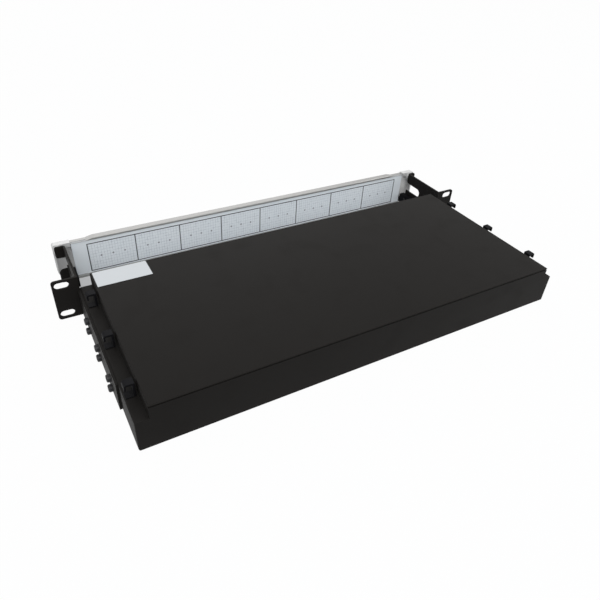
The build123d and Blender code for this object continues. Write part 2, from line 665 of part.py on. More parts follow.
def cassette_lid(middle):
    """The lid of a cassette, with a rim that drops inside the tray."""
    sides = around(middle, cassette_width)
    plate = block(sides, (cassette_front, cassette_rear), (lid_bottom, cassette_top))
    plate = fillet(plate.edges().filter_by(Axis.Z), CASSETTE_WALL / 2)
    edge = CASSETTE_WALL + ADAPTER_FIT
    rim_z = (lid_bottom - LID_RIM_DEPTH, lid_bottom)
    rim = block((sides[0] + edge, sides[1] - edge), (cassette_front + edge, cassette_rear - edge), rim_z)
    edge += LID_RIM
    rim -= block((sides[0] + edge, sides[1] - edge), (cassette_front + edge, cassette_rear - edge), rim_z)
    return plate + rim


def duplex_adapter(across, height):
    """A duplex adapter through the cassette front, with two open ports."""
    face = cassette_front - ADAPTER_PROUD
    body = block(around(across, ADAPTER_WIDTH), (face, cassette_front + ADAPTER_INSIDE),
                 around(height, ADAPTER_HEIGHT))
    body += block(around(across, ADAPTER_WIDTH + 2 * FLANGE_RIM), (cassette_front - FLANGE, cassette_front),
                  around(height, ADAPTER_HEIGHT + 2 * FLANGE_RIM))
    for side in (-1, 1):
        body -= block(around(across + side * PORT_PITCH / 2, PORT_WIDTH), (face - OVERCUT, face + PORT_DEPTH),
                      around(height, PORT_HEIGHT))
    return body


def trunk_adapter(middle):
    """The multi-fibre adapter through the back of a cassette."""
    face = cassette_rear + TRUNK_PROUD
    body = block(around(middle, TRUNK_WIDTH), (cassette_rear - TRUNK_INSIDE, face),
                 around(port_middle, TRUNK_HEIGHT))
    body += block(around(middle, TRUNK_WIDTH + 2 * FLANGE_RIM), (cassette_rear, cassette_rear + FLANGE),
                  around(port_middle, TRUNK_HEIGHT + 2 * FLANGE_RIM))
    return body - block(around(middle, TRUNK_PORT_WIDTH), (face - PORT_DEPTH, face + OVERCUT),
                        around(port_middle, TRUNK_PORT_HEIGHT))


def dust_cap(across, height):
    """A duplex dust cap: a head in front of the adapter and a plug in each port."""
    face = cassette_front - ADAPTER_PROUD
    head = block(around(across, ADAPTER_WIDTH - 2 * CAP_INSET), (face - CAP_HEAD, face),
                 around(height, ADAPTER_HEIGHT - 2 * CAP_INSET))
    head = fillet(head.faces().sort_by(Axis.Y)[0].edges(), CAP_EDGE)
    for side in (-1, 1):
        head += block(around(across + side * PORT_PITCH / 2, PORT_WIDTH - 2 * PLUG_FIT),
                      (face, face + PLUG_LENGTH), around(height, PORT_HEIGHT - 2 * PLUG_FIT))
    return head


def trunk_cap(middle):
    """The dust cap of the multi-fibre adapter."""
    face = cassette_rear + TRUNK_PROUD
    head = block(around(middle, TRUNK_WIDTH - 2 * CAP_INSET), (face, face + CAP_HEAD),
                 around(port_middle, TRUNK_HEIGHT - 2 * CAP_INSET))
    head = fillet(head.faces().sort_by(Axis.Y)[-1].edges(), CAP_EDGE)
    return head + block(around(middle, TRUNK_PORT_WIDTH - 2 * PLUG_FIT), (face - PLUG_LENGTH, face),
                        around(port_middle, TRUNK_PORT_HEIGHT - 2 * PLUG_FIT))


def right_fibre_spool():
    """A drum on a thin base, with four fingers that keep the slack fibre on it."""
    height = spool_top - SHEET
    inner = SPOOL_RADIUS - SPOOL_WALL
    spool = rod((0, 0, SHEET), (0, 0, 1), SPOOL_RADIUS + SPOOL_RIM / 2, SPOOL_BASE)
    spool += rod((0, 0, SHEET), (0, 0, 1), SPOOL_RADIUS, height)
    spool -= rod((0, 0, SHEET + SPOOL_BASE), (0, 0, 1), inner, height)
    finger = block((inner, spool_reach), around(0, SPOOL_RIM_WIDTH), (spool_top - SPOOL_WALL, spool_top))
    finger += block((inner, SPOOL_RADIUS), around(0, SPOOL_RIM_WIDTH), (SHEET + SPOOL_BASE, spool_top))
    for turn in range(0, 360, 90):
        spool += Rot(0, 0, turn) * finger
    spool += rod((0, 0, 0), (0, 0, 1), STUD_RADIUS, SHEET + SPOOL_BASE)
    return Pos(SPOOL_PLACE, spool_y, 0) * spool


def right_trunk_clip():
    """An open ring on a short stem that holds the trunk cable in the side lane."""
    inner = CLIP_CABLE / 2
    outer = inner + CLIP_WALL
    middle_z = SHEET + CLIP_STEM + outer
    start = CLIP_PLACE - CLIP_WIDTH / 2
    ring = rod((lane_middle, start, middle_z), (0, 1, 0), outer, CLIP_WIDTH)
    ring += block(around(lane_middle, CLIP_CABLE), (start, start + CLIP_WIDTH), (SHEET, middle_z))
    ring -= rod((lane_middle, start - OVERCUT, middle_z), (0, 1, 0), inner, CLIP_WIDTH + 2 * OVERCUT)
    ring -= block(around(lane_middle, CLIP_MOUTH), (start - OVERCUT, start + CLIP_WIDTH + OVERCUT),
                  (middle_z, middle_z + 2 * outer))
    return ring + rod((lane_middle, CLIP_PLACE, 0), (0, 0, 1), STUD_RADIUS, 2 * SHEET)


def write_pairs():
    """Write each right-hand piece and its left twin."""
    pairs = {
        "bracket": [right_bracket()],
        "bracket_screws": right_bracket_screws(),
        "cable_hooks": [cable_hook(front) for front in hook_fronts()],
        "hinge_block": [right_hinge_block()],
        "hinge_pin": [right_hinge_pin()],
        "hinge_rivets": right_rivets(),
        "door_cap": [right_door_cap()],
        "door_magnet": [right_magnet()],
        "fibre_spool": [right_fibre_spool()],
        "trunk_clip": [right_trunk_clip()],
    }
    for name, shapes in pairs.items():
        write(f"right_{name}", group(shapes))
        write(f"left_{name}", group([to_left(shape) for shape in shapes]))


def write_cassettes():
    """Write the four nodes of each cassette, numbered from the left."""
    for index in range(cassette_count):
        middle = cassette_pitch * (index - (cassette_count - 1) / 2)
        places = port_places(middle)
        name = f"cassette_{index + 1}"
        write(f"{name}_body", cassette_body(middle))
        write(f"{name}_lid", cassette_lid(middle))
        adapters = [duplex_adapter(*place) for place in places] + [trunk_adapter(middle)]
        caps = [dust_cap(*place) for place in places] + [trunk_cap(middle)]
        write(f"{name}_adapters", group(adapters))
        write(f"{name}_dust_caps", group(caps))


def main():
    os.makedirs("parts", exist_ok=True)
    write("base_pan", base_pan())
    write("top_cover", top_cover())
    write("cover_screws", cover_screws())
    write("cassette_dividers", group([cassette_divider(place) for place in divider_places()]))
    write("front_door", front_door())
    write("label_panel", label_panel())
    write("label_sheet", label_sheet())
    write("asset_label", asset_label())
    write_pairs()
    write_cassettes()


main()
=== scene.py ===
import json
import math

import bmesh
import bpy
import numpy as np
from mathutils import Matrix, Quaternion, Vector

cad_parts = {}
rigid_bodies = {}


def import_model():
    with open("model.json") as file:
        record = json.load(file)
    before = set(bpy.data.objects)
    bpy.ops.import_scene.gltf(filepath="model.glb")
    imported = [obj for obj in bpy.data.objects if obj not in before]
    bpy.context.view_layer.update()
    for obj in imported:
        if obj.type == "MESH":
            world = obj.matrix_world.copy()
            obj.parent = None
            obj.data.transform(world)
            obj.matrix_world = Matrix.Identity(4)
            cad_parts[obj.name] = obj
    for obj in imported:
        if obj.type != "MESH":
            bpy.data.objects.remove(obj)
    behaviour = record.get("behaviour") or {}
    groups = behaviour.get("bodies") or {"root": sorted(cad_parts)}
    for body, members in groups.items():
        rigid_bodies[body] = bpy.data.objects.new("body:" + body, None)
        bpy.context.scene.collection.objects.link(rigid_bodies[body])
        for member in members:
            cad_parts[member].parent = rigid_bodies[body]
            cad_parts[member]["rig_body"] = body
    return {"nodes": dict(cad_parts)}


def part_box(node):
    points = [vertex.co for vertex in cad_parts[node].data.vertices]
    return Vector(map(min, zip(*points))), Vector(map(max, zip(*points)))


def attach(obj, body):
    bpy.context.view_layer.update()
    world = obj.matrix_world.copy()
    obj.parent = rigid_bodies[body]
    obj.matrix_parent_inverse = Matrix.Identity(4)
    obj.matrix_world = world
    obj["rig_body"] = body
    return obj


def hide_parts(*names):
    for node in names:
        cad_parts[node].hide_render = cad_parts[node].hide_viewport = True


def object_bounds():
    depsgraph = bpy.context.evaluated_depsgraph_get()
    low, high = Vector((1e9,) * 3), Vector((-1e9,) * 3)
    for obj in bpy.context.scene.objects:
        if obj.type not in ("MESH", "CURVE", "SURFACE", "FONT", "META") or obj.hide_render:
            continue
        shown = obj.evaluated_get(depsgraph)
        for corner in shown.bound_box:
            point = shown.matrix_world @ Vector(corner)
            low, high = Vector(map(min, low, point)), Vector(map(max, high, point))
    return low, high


# Looks of a one-unit fibre patch panel: powder-coated case, silver door with a printed port
# sheet behind it, black hooks and screws on the sides, cassettes with aqua adapters inside.
# Lengths are metres, in the frame of the rack slots: +X right, +Y back, +Z up.

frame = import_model()
cad_low, cad_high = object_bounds()
MM = 0.001

# The camera stands behind the panel, to its right and above it
CAMERA_PLACE = (0.25558, 0.45334, 0.32138)
CAMERA_AZIMUTH = 148.76
CAMERA_ELEVATION = 36.27
CAMERA_ROLL = 3.60
LENS = 32.94
SHIFT_ACROSS = 0.0053
SHIFT_UP = -0.0167
VIEW_REACH = 50.0

# Surroundings: how strongly they light the object, and how bright they are where they are seen
SKY = 0.42
SKY_SEEN = 1.0
WHITE = (1.0, 1.0, 1.0, 1.0)
SHOWING_RAYS = ("Is Camera Ray", "Is Glossy Ray", "Is Transmission Ray")

# Floor: its own tone, its brightness where it is seen, and the share of white that is mixed in,
# in all and between the door and the case, where the smaller share is painted shade
FLOOR_TONE = (0.20, 0.215, 0.232)
FLOOR_SEEN = 1.04
FLOOR_HALF = 6.0
FLOOR_SHADE = 0.94
PAINTED_SHADE_WHITE_SHARE = 0.37
FLOOR_BLEND = 2.5 * MM

# Square lamps: name, place, the point it faces, side in metres, power in watts
LAMPS = (
    ("key", (0.6, 1.35, 1.6), (0, -0.05, 0), 2.2, 35),
    ("fill", (-1.5, 0.7, 1.2), (0, 0.05, 0), 1.6, 14),
    ("front", (-0.15, -1.48, 1.34), (0, 0, 0), 2.0, 9.5),
)

# Printed port sheet: a frame of equal sections, each with a fine grid and three small marks
SECTIONS = 8
FRAME_WIDTH = 395.5 * MM
FRAME_SHIFT = -1.5 * MM
FRAME_HEIGHT = 32.5 * MM
FRAME_TOP = 4.8 * MM
FRAME_LINE = 1.1 * MM
FRAME_INK = 0.97
GRID_COLUMNS = 16
GRID_ROWS = 9
GRID_LINE = 0.42 * MM
GRID_MARGIN = 1.2 * MM
GRID_INK = 0.54
FAINT_INK = 0.12
MARKS = 3
MARK_RADIUS = 1.0 * MM
MARK_INK = 0.75
FIBRE_SHARE = 0.25

# Tones of the finishes: darkest and lightest, then any spots or ink on them
COAT_TONES = ((0.0096, 0.0088, 0.0081), (0.0126, 0.0116, 0.0107))
COAT_FLECK = (0.040, 0.039, 0.037)
OXIDE_TONES = ((0.016, 0.016, 0.018), (0.075, 0.073, 0.072))
HOOK_TONES = ((0.005, 0.005, 0.006), (0.008, 0.008, 0.009))
DOOR_TONES = ((0.31, 0.308, 0.302), (0.41, 0.407, 0.398))
CAP_TONES = ((0.58, 0.582, 0.58), (0.70, 0.702, 0.70))
CARRIER_TONES = ((0.42, 0.44, 0.46), (0.48, 0.50, 0.52))
PAPER_TONES = ((0.75, 0.81, 0.86), (0.82, 0.86, 0.89))
FIBRE_TONE = (0.64, 0.69, 0.74)
GRID_TONE = (0.22, 0.25, 0.33)
MARK_TONE = (0.09, 0.08, 0.12)
FRAME_TONE = (0.012, 0.013, 0.022)
STICKER_TONES = ((0.50, 0.53, 0.555), (0.555, 0.58, 0.60))
PIN_TONES = ((0.42, 0.42, 0.43), (0.56, 0.56, 0.57))
MAGNET_TONES = ((0.60, 0.59, 0.57), (0.70, 0.69, 0.66))
DIVIDER_TONES = ((0.022, 0.022, 0.023), (0.030, 0.030, 0.031))
SPOOL_TONES = ((0.024, 0.024, 0.025), (0.034, 0.034, 0.034))
SHELL_TONES = ((0.030, 0.031, 0.033), (0.042, 0.043, 0.045))
LID_TONES = ((0.050, 0.052, 0.055), (0.064, 0.066, 0.070))
AQUA_TONES = ((0.030, 0.36, 0.40), (0.045, 0.44, 0.47))
MILKY_TONES = ((0.62, 0.64, 0.64), (0.70, 0.72, 0.71))

# Fineness of the textures, in cells per metre, along each axis where there are three
COAT_GRAIN = 1500
COAT_PEEL = 320
COAT_SMUDGE = 38
COAT_DRIFT = 7
COAT_FLECKS = 2600
OXIDE_RUB = 900
OXIDE_SHEEN = 500
OXIDE_PITS = 2200
NYLON_GRAIN = 1900
NYLON_DRIFT = 30
DOOR_LINES = (5, 1600, 1600)
DOOR_BANDS = (3, 160, 160)
DOOR_DRIFT = 9
CAP_FLAKES = 4200
CAP_PEEL = 420
PAPER_FIBRES = 900
PAPER_CLOUDS = 14
PATCHES = 260
STICKER_DOTS = 1500
PIN_LINES = (900, 60, 60)
MAGNET_LINES = (400, 400, 400)

# Depth of the relief of each finish
COAT_DEPTH = 0.06 * MM
OXIDE_DEPTH = 0.03 * MM
NYLON_DEPTH = 0.05 * MM
FINE_NYLON_DEPTH = 0.03 * MM
PEEL_DEPTH = 0.03 * MM
FIBRE_DEPTH = 0.02 * MM
LINE_DEPTH = 0.01 * MM

# Broken edges: how far each kind of piece is bevelled
SHEET_EDGE = 0.25 * MM
MOULDED_EDGE = 0.35 * MM
SMALL_EDGE = 0.15 * MM
EDGE_WIDTHS = {
    "base_pan": SHEET_EDGE, "top_cover": SHEET_EDGE, "bracket": SHEET_EDGE, "door_cap": SHEET_EDGE,
    "body": SHEET_EDGE, "lid": SHEET_EDGE, "hinge_block": MOULDED_EDGE, "cable_hooks": MOULDED_EDGE,
    "cassette_dividers": SMALL_EDGE, "adapters": SMALL_EDGE, "dust_caps": SMALL_EDGE,
    "trunk_clip": SMALL_EDGE,
}
EDGE_STEPS = 2
EDGE_ANGLE = 38.0
MERGE_REACH = 0.004 * MM
FLAT_ANGLE = 0.4

# Grip ribs on the dust caps and on the cassette pulls
CASSETTES = 8
PORT_COLUMNS = 3
PORT_ROW_PITCH = 15.5 * MM
COLUMN_PITCH = 14.733 * MM
CAP_RIBS = 3
CAP_RIB_PITCH = 2.0 * MM
CAP_RIB_LENGTH = 9.4 * MM
PULL_RIBS = 4
PULL_RIB_PITCH = 1.5 * MM
PULL_RIB_LENGTH = 13.0 * MM
PULL_RIB_INSET = 1.8 * MM
PULL_THICKNESS = 1.8 * MM
RIB_WIDTH = 0.9 * MM
RIB_RISE = 0.45 * MM
RIB_SINK = 0.1 * MM
RIB_FULLNESS = 6
RIB_ARC = 7
RIB_RINGS = 6


class Value:
    """A shader socket that takes part in sums, so that a pattern reads as plain maths."""

    def __init__(self, recipe, socket):
        self.recipe = recipe
        self.socket = socket

    def maths(self, operation, other=0.0, swapped=False):
        """A new value from this one and another, in that order or swapped."""
        pair = {0: other, 1: self} if swapped else {0: self, 1: other}
        return self.recipe.node("ShaderNodeMath", {"operation": operation}, pair)

    def __add__(self, other):
        return self.maths("ADD", other)

    __radd__ = __add__

    def __sub__(self, other):
        return self.maths("SUBTRACT", other)

    def __rsub__(self, other):
        return self.maths("SUBTRACT", other, swapped=True)

    def __mul__(self, other):
        return self.maths("MULTIPLY", other)

    __rmul__ = __mul__

    def __abs__(self):
        return self.maths("ABSOLUTE")

    def below(self, limit):
        """1 where the value lies under a limit, else 0."""
        return self.maths("LESS_THAN", limit)

    def above(self, limit):
        """1 where the value lies over a limit, else 0."""
        return self.maths("GREATER_THAN", limit)

    def larger(self, other):
        """The larger of this value and another."""
        return self.maths("MAXIMUM", other)

    def repeated(self, pitch):
        """The distance from the nearest multiple of a pitch."""
        return self.maths("PINGPONG", pitch / 2)

    def held(self, low, high):
        """The value spread from 0 at low to 1 at high, and held there."""
        spread = {"Value": self, "From Min": low, "From Max": high, "To Min": 0.0, "To Max": 1.0}
        return self.recipe.node("ShaderNodeMapRange", {"clamp": True}, spread)


class Recipe:
    """A material or the world as it is written: its nodes, joined by values."""

    def __init__(self, name, world=False):
        self.holder = bpy.data.worlds.new(name) if world else bpy.data.materials.new(name)
        self.output = "ShaderNodeOutputWorld" if world else "ShaderNodeOutputMaterial"
        self.holder.use_nodes = True
        self.tree = self.holder.node_tree
        self.tree.nodes.clear()

    def node(self, kind, settings=None, inputs=None, output=0):
        """Add a node: its settings first, then numbers, colours or links for its inputs."""
        made = self.tree.nodes.new(kind)
        for key, value in (settings or {}).items():
            setattr(made, key, value)
        for key, value in (inputs or {}).items():
            if isinstance(value, Value):
                self.tree.links.new(value.socket, made.inputs[key])
            else:
                made.inputs[key].default_value = value
        return Value(self, made.outputs[output])

    def place(self):
        """The point on the piece, in metres."""
        return self.node("ShaderNodeTexCoord", output="Object")

    def stretched(self, scale):
        """The point on the piece with each axis scaled by its own factor."""
        return self.node("ShaderNodeMapping", inputs={"Vector": self.place(), "Scale": scale})

    def axes(self):
        """The point's X, Y and Z as three values."""
        outputs = self.node("ShaderNodeSeparateXYZ", inputs={"Vector": self.place()}).socket.node.outputs
        return [Value(self, outputs[axis]) for axis in "XYZ"]

    def noise(self, scale, detail=2.0, vector=None):
        """Soft noise between 0 and 1, with a scale in cells per metre."""
        inputs = {"Vector": vector or self.place(), "Scale": scale, "Detail": detail}
        return self.node("ShaderNodeTexNoise", inputs=inputs)

    def mix(self, share, first, second):
        """A colour between two colours. By number, because the node has more than one A and B."""
        colours = {6: opaque(first), 7: opaque(second), 0: share}
        return self.node("ShaderNodeMix", {"data_type": "RGBA"}, colours, output=2)

    def bump(self, height, depth, strength=1.0):
        """A normal pushed by a height that stands for a depth in metres."""
        return self.node("ShaderNodeBump", inputs={"Strength": strength, "Distance": depth, "Height": height})

    def shown(self):
        """1 on a ray that shows the background: seen, mirrored or let through; else 0."""
        outputs = self.node("ShaderNodeLightPath").socket.node.outputs
        seen, mirrored, let_through = [Value(self, outputs[name]) for name in SHOWING_RAYS]
        return seen.larger(mirrored).larger(let_through)

    def blend(self, share, first, second):
        """A shader between two shaders."""
        return self.node("ShaderNodeMixShader", inputs={0: share, 1: first, 2: second})

    def surface(self, inputs):
        """Close the material with one surface shader."""
        return self.close(self.node("ShaderNodeBsdfPrincipled", inputs=inputs))

    def close(self, shader):
        """Join the last shader to the output."""
        out = self.tree.nodes.new(self.output)
        self.tree.links.new(shader.socket, out.inputs["Surface"])
        return self.holder


def opaque(colour):
    """A colour with full alpha, or a value left as it is."""
    return colour if isinstance(colour, Value) else (*colour, 1.0)


def powder_coat():
    """Fine-textured black powder coat: pinhead grain, slow colour drift and faint handling marks."""
    recipe = Recipe("powder_coat")
    grain = recipe.noise(COAT_GRAIN, 3)
    peel = recipe.noise(COAT_PEEL)
    drift = recipe.noise(COAT_DRIFT, 3)
    smudge = recipe.noise(COAT_SMUDGE, 4).held(0.52, 0.75)
    fleck = recipe.noise(COAT_FLECKS, 1).held(0.70, 0.80)
    tone = recipe.mix(drift, *COAT_TONES)
    tone = recipe.mix(fleck * 0.35, tone, COAT_FLECK)
    rough = 0.44 + 0.10 * drift + 0.06 * smudge + 0.06 * grain
    normal = recipe.bump(grain * 0.6 + peel * 0.4, COAT_DEPTH, 0.55)
    return recipe.surface({"Base Color": tone, "Roughness": rough, "Normal": normal,
                           "Specular IOR Level": 0.06})


def black_oxide():
    """Blackened screw steel, thin and bluish, with brighter rubbed spots."""
    recipe = Recipe("black_oxide")
    rubbed = recipe.noise(OXIDE_RUB, 4).held(0.60, 0.78)
    tone = recipe.mix(rubbed, *OXIDE_TONES)
    rough = 0.34 + 0.14 * recipe.noise(OXIDE_SHEEN)
    return recipe.surface({"Base Color": tone, "Roughness": rough, "Metallic": 0.35 + 0.3 * rubbed,
                           "Normal": recipe.bump(recipe.noise(OXIDE_PITS), OXIDE_DEPTH, 0.4)})


def nylon(name, tones, rough=0.46, depth=NYLON_DEPTH, shine=0.5):
    """Moulded plastic with a spark-eroded grain and slow changes of sheen."""
    recipe = Recipe(name)
    drift = recipe.noise(NYLON_DRIFT, 3)
    fine = recipe.noise(NYLON_GRAIN)
    sheen = rough - 0.06 + 0.10 * drift + 0.06 * fine
    return recipe.surface({"Base Color": recipe.mix(drift, *tones), "Roughness": sheen,
                           "Normal": recipe.bump(fine, depth, 0.5), "Specular IOR Level": shine})


def anodised():
    """Satin anodised section: die lines along its length and a slow change of tone."""
    recipe = Recipe("anodised_door")
    lines = recipe.noise(1.0, 3, recipe.stretched(DOOR_LINES))
    bands = recipe.noise(1.0, 2, recipe.stretched(DOOR_BANDS))
    drift = recipe.noise(DOOR_DRIFT)
    tone = recipe.mix(0.6 * lines + 0.4 * bands, *DOOR_TONES)
    rough = 0.30 + 0.12 * lines + 0.06 * drift
    return recipe.surface({"Base Color": tone, "Roughness": rough, "Metallic": 0.62 + 0.1 * drift,
                           "Normal": recipe.bump(lines, LINE_DEPTH, 0.3)})


def silver_moulding():
    """Silver-painted moulding with metal flake and a light orange peel."""
    recipe = Recipe("silver_moulding")
    flake = recipe.noise(CAP_FLAKES, 1).held(0.45, 0.70)
    peel = recipe.noise(CAP_PEEL)
    return recipe.surface({"Base Color": recipe.mix(flake, *CAP_TONES), "Roughness": 0.40 + 0.08 * peel,
                           "Metallic": 0.25 + 0.2 * flake, "Normal": recipe.bump(peel, PEEL_DEPTH, 0.35)})


def printed_sheet():
    """The port sheet: paper fibre, a frame of sections, a fine uneven grid in each, and small marks.

    All of it is worked out from the distance across and up from the middle of the printed frame.
    """
    recipe = Recipe("printed_sheet")
    low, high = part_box("label_sheet")
    across, _, height = recipe.axes()
    across = across - ((low.x + high.x) / 2 + FRAME_SHIFT)
    height = height - (high.z - FRAME_TOP - FRAME_HEIGHT / 2)
    pitch = FRAME_WIDTH / SECTIONS
    inside = abs(across).below(FRAME_WIDTH / 2 + FRAME_LINE / 2) * abs(height).below(
        FRAME_HEIGHT / 2 + FRAME_LINE / 2)
    upright = across.repeated(pitch).below(FRAME_LINE / 2)
    level = abs(abs(height) - FRAME_HEIGHT / 2).below(FRAME_LINE / 2)
    frame_ink = upright.larger(level) * inside
    local = (across + pitch / 2).repeated(pitch)
    grid_half = pitch / 2 - GRID_MARGIN
    grid_rise = FRAME_HEIGHT / 2 - GRID_MARGIN
    columns = local.repeated(2 * grid_half / GRID_COLUMNS).below(GRID_LINE / 2)
    rows = height.repeated(2 * grid_rise / GRID_ROWS).below(GRID_LINE / 2)
    grid_area = local.below(grid_half) * abs(height).below(grid_rise) * inside
    patchy = recipe.noise(PATCHES).held(0.35, 0.65)
    grid_ink = columns.larger(rows) * grid_area * (FAINT_INK + (GRID_INK - FAINT_INK) * patchy)
    mark_pitch = pitch / (MARKS + 1)
    mark_across = (local - mark_pitch) * local.above(mark_pitch / 2) + local * local.below(mark_pitch / 2)
    mark = (mark_across * mark_across + height * height).below(MARK_RADIUS * MARK_RADIUS) * inside
    fibre = recipe.noise(PAPER_FIBRES, 4)
    paper = recipe.mix(recipe.noise(PAPER_CLOUDS), *PAPER_TONES)
    paper = recipe.mix(fibre * FIBRE_SHARE, paper, FIBRE_TONE)
    tone = recipe.mix(grid_ink, paper, GRID_TONE)
    tone = recipe.mix(mark * MARK_INK, tone, MARK_TONE)
    tone = recipe.mix(frame_ink * FRAME_INK, tone, FRAME_TONE)
    return recipe.surface({"Base Color": tone, "Roughness": 0.42 + 0.12 * fibre,
                           "Normal": recipe.bump(fibre, FIBRE_DEPTH, 0.3)})


def sticker():
    """Bare white polyester with a faint weave of print dots and a soft sheen."""
    recipe = Recipe("sticker")
    dots = recipe.noise(STICKER_DOTS)
    return recipe.surface({"Base Color": recipe.mix(dots, *STICKER_TONES), "Roughness": 0.36 + 0.1 * dots,
                           "Normal": recipe.bump(dots, LINE_DEPTH, 0.3)})


def ground_steel(name, tones, scale):
    """Bright metal with fine lines along the axes where the scale is small."""
    recipe = Recipe(name)
    lines = recipe.noise(1.0, 3, recipe.stretched(scale))
    return recipe.surface({"Base Color": recipe.mix(lines, *tones), "Metallic": 1.0,
                           "Roughness": 0.22 + 0.16 * lines,
                           "Normal": recipe.bump(lines, LINE_DEPTH, 0.4)})


def finishes():
    """The material of each kind of piece."""
    coat = powder_coat()
    oxide = black_oxide()
    hook = nylon("hook_nylon", HOOK_TONES, 0.50, shine=0.05)
    return {
        "base_pan": coat, "top_cover": coat, "bracket": coat, "bracket_screws": oxide, "cover_screws": oxide,
        "hinge_rivets": oxide, "cable_hooks": hook, "hinge_block": hook, "trunk_clip": hook,
        "front_door": anodised(), "door_cap": silver_moulding(),
        "label_panel": nylon("carrier_plastic", CARRIER_TONES, 0.50),
        "label_sheet": printed_sheet(), "asset_label": sticker(),
        "hinge_pin": ground_steel("pin_steel", PIN_TONES, PIN_LINES),
        "door_magnet": ground_steel("magnet_nickel", MAGNET_TONES, MAGNET_LINES),
        "cassette_dividers": nylon("divider_nylon", DIVIDER_TONES),
        "fibre_spool": nylon("spool_nylon", SPOOL_TONES),
        "body": nylon("cassette_shell", SHELL_TONES),
        "lid": nylon("cassette_lid", LID_TONES),
        "adapters": nylon("aqua_moulding", AQUA_TONES, 0.30, FINE_NYLON_DEPTH),
        "dust_caps": nylon("milky_caps", MILKY_TONES, 0.40, FINE_NYLON_DEPTH),
    }


def kind_of(name):
    """The kind of piece that a node is: its name with no side or cassette number."""
    if name.startswith("cassette_") and name != "cassette_dividers":
        return name.split("_", 2)[2]
    return name.replace("left_", "").replace("right_", "")


def dress_frame(coats):
    """Give every CAD node its finish."""
    for name, node in frame["nodes"].items():
        for slot in node.material_slots:
            slot.material = coats[kind_of(name)]


def add_piece(name, mesh, body, coat):
    """Hang a finished mesh on a body of the frame."""
    piece = bpy.data.objects.new(name, mesh)
    bpy.context.scene.collection.objects.link(piece)
    mesh.materials.clear()
    mesh.materials.append(coat)
    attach(piece, body)
    return piece


def break_edges(coats):
    """Stand a bevelled copy in for each node whose real edges are broken or moulded round."""
    for name, node in frame["nodes"].items():
        kind = kind_of(name)
        if kind not in EDGE_WIDTHS:
            continue
        mesh = joined_copy(node.data, f"{name}_mesh")
        piece = add_piece(f"{name}_finished", mesh, node["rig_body"], coats[kind])
        bevel = piece.modifiers.new("broken edges", "BEVEL")
        bevel.width = EDGE_WIDTHS[kind]
        bevel.segments = EDGE_STEPS
        bevel.limit_method = "ANGLE"
        bevel.angle_limit = math.radians(EDGE_ANGLE)
        bevel.harden_normals = True
        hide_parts(name)


def joined_copy(source, name):
    """A copy of a node's mesh with its loose triangles merged and its flat faces made whole."""
    mesh = source.copy()
    mesh.name = name
    if "custom_normal" in mesh.attributes:
        mesh.attributes.remove(mesh.attributes["custom_normal"])
    model = bmesh.new()
    model.from_mesh(mesh)
    bmesh.ops.remove_doubles(model, verts=model.verts, dist=MERGE_REACH)
    bmesh.ops.dissolve_limit(model, angle_limit=math.radians(FLAT_ANGLE), verts=model.verts,
                             edges=model.edges)
    write_smooth(model, mesh)
    return mesh


def write_smooth(model, mesh):
    """Put an edited mesh back, with its faces shaded smooth."""
    model.to_mesh(mesh)
    model.free()
    mesh.polygons.foreach_set("use_smooth", [True] * len(mesh.polygons))


def rib_shells(places, length, outward):
    """Points and faces of straight ribs, each a grid of a turn round its section and a run across.

    The section is half an ellipse: RIB_WIDTH / 2 times the cosine of the turn along the surface, and
    RIB_RISE + RIB_SINK times its sine along the outward axis, less RIB_SINK, the depth at which it
    starts. Along the rib both shrink by the square root of 1 - s to the power RIB_FULLNESS, s running
    from -1 to 1, so that a rib keeps its section for most of its length and ends round.
    """
    turn = np.linspace(0, math.pi, RIB_ARC)
    run = np.sin(np.linspace(-math.pi / 2, math.pi / 2, RIB_RINGS))
    turns, runs = np.meshgrid(turn, run)
    taper = np.sqrt(np.clip(1 - runs ** RIB_FULLNESS, 0.0, 1.0))
    across = runs * length / 2
    level = RIB_WIDTH / 2 * np.cos(turns) * taper
    proud = (RIB_RISE + RIB_SINK) * np.sin(turns) * taper - RIB_SINK
    side = np.array(outward)
    along = np.array((0, 0, 1)) if side[1] else np.array((0, 1, 0))
    one = across[..., None] * (1, 0, 0) + level[..., None] * along + proud[..., None] * side
    points = (one[None] + np.asarray(places)[:, None, None]).reshape(-1, 3)
    first = (np.arange(RIB_RINGS - 1)[:, None] * RIB_ARC + np.arange(RIB_ARC - 1)).ravel()
    quads = np.stack([first, first + RIB_ARC, first + RIB_ARC + 1, first + 1], axis=1)
    starts = np.arange(len(places)) * RIB_ARC * RIB_RINGS
    return points, (quads[None] + starts[:, None, None]).reshape(-1, 4)


def add_ribs(coats):
    """Grip ribs on every front dust cap and cassette pull."""
    for number in range(1, CASSETTES + 1):
        low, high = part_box(f"cassette_{number}_body")
        cap_low, cap_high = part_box(f"cassette_{number}_dust_caps")
        middle = (low.x + high.x) / 2
        rows_middle = (cap_low.z + cap_high.z) / 2
        columns = (np.arange(PORT_COLUMNS) - (PORT_COLUMNS - 1) / 2) * COLUMN_PITCH + middle
        rows = np.array((-0.5, 0.5)) * PORT_ROW_PITCH + rows_middle
        lines = (np.arange(CAP_RIBS) - (CAP_RIBS - 1) / 2) * CAP_RIB_PITCH
        places = [(x, cap_low.y, z + line) for x in columns for z in rows for line in lines]
        write_ribs(f"cassette_{number}_cap_ribs", rib_shells(places, CAP_RIB_LENGTH, (0, -1, 0)),
                   f"cassette_{number}", coats["dust_caps"])
        top = low.z + PULL_THICKNESS
        first = low.y + PULL_RIB_INSET
        places = [(middle, first + PULL_RIB_PITCH * index, top) for index in range(PULL_RIBS)]
        write_ribs(f"cassette_{number}_pull_ribs", rib_shells(places, PULL_RIB_LENGTH, (0, 0, 1)),
                   f"cassette_{number}", coats["body"])


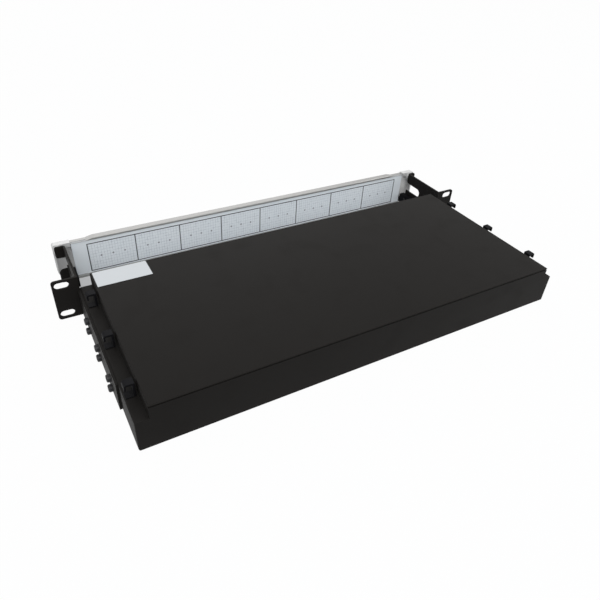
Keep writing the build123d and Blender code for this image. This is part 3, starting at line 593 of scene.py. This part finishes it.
def write_ribs(name, shells, body, coat):
    """Make one piece of some ribs, with their ends merged and their faces outwards."""
    points, faces = shells
    mesh = bpy.data.meshes.new(name)
    mesh.from_pydata(points.tolist(), [], faces.tolist())
    model = bmesh.new()
    model.from_mesh(mesh)
    bmesh.ops.remove_doubles(model, verts=model.verts, dist=MERGE_REACH)
    bmesh.ops.recalc_face_normals(model, faces=model.faces)
    write_smooth(model, mesh)
    add_piece(name, mesh, body, coat)


def place_camera():
    """Stand the camera where the photograph was taken, looking down and slightly rolled."""
    data = bpy.data.cameras.new("camera")
    camera = bpy.data.objects.new("camera", data)
    bpy.context.scene.collection.objects.link(camera)
    turn, tilt = math.radians(CAMERA_AZIMUTH), math.radians(CAMERA_ELEVATION)
    ahead = Vector((-math.sin(turn) * math.cos(tilt), math.cos(turn) * math.cos(tilt), -math.sin(tilt)))
    roll = Quaternion(ahead, math.radians(-CAMERA_ROLL))
    camera.rotation_mode = "QUATERNION"
    camera.rotation_quaternion = roll @ ahead.to_track_quat("-Z", "Y")
    camera.location = CAMERA_PLACE
    data.lens = LENS
    data.shift_x = SHIFT_ACROSS
    data.shift_y = SHIFT_UP
    data.clip_end = VIEW_REACH
    bpy.context.scene.camera = camera


def soft_box(name, place, aim, size, power):
    """A square area lamp that faces a point."""
    data = bpy.data.lights.new(name, "AREA")
    data.shape = "SQUARE"
    data.size = size
    data.energy = power
    lamp = bpy.data.objects.new(name, data)
    bpy.context.scene.collection.objects.link(lamp)
    lamp.location = place
    lamp.rotation_mode = "QUATERNION"
    lamp.rotation_quaternion = (Vector(aim) - Vector(place)).to_track_quat("-Z", "Y")


def light_studio():
    """Soft lamps above, and surroundings that are dim as light but white wherever they are seen."""
    scene = bpy.context.scene
    scene.view_settings.view_transform = "Standard"
    recipe = Recipe("studio", world=True)
    lit = recipe.node("ShaderNodeBackground", inputs={"Color": WHITE, "Strength": SKY})
    seen = recipe.node("ShaderNodeBackground", inputs={"Color": WHITE, "Strength": SKY_SEEN})
    scene.world = recipe.close(recipe.blend(recipe.shown(), lit, seen))
    for lamp in LAMPS:
        soft_box(*lamp)


def floor_paint():
    """A matt tone, mostly hidden by white wherever it is seen, so that a light shadow is left.

    Between the door and the case, which shade it all round, less white is mixed in inside a box drawn round
    the case, so more of its own tone shows there: painted shade on top of the real shade that the matt tone
    gets.
    """
    recipe = Recipe("floor_paint")
    matt = recipe.node("ShaderNodeBsdfDiffuse", inputs={"Color": opaque(FLOOR_TONE)})
    glow = recipe.node("ShaderNodeEmission", inputs={"Color": WHITE, "Strength": FLOOR_SEEN})
    case_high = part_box("base_pan")[1]
    door_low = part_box("front_door")[0]
    half_width = case_high.x - FLOOR_BLEND
    middle = (door_low.y + case_high.y) / 2
    half_depth = (case_high.y - door_low.y) / 2 - FLOOR_BLEND
    across, depth, _ = recipe.axes()
    # Painted shade: 0 in the box between the door and the case, where less white is mixed in, 1 outside it
    outside_painted_shade = abs(across).held(half_width, half_width + FLOOR_BLEND).larger(
        abs(depth - middle).held(half_depth, half_depth + FLOOR_BLEND))
    share = recipe.shown() * FLOOR_SHADE * (PAINTED_SHADE_WHITE_SHARE + (1 - PAINTED_SHADE_WHITE_SHARE) * outside_painted_shade)
    return recipe.close(recipe.blend(share, matt, glow))


def lay_floor():
    """A wide floor at the level of the case's underside."""
    level = cad_low.z
    half = FLOOR_HALF
    mesh = bpy.data.meshes.new("floor")
    corners = [(-half, -half, level), (half, -half, level), (half, half, level), (-half, half, level)]
    mesh.from_pydata(corners, [], [(0, 1, 2, 3)])
    mesh.materials.append(floor_paint())
    floor = bpy.data.objects.new("floor", mesh)
    bpy.context.scene.collection.objects.link(floor)


place_camera()
coats = finishes()
dress_frame(coats)
break_edges(coats)
add_ribs(coats)
light_studio()
lay_floor()
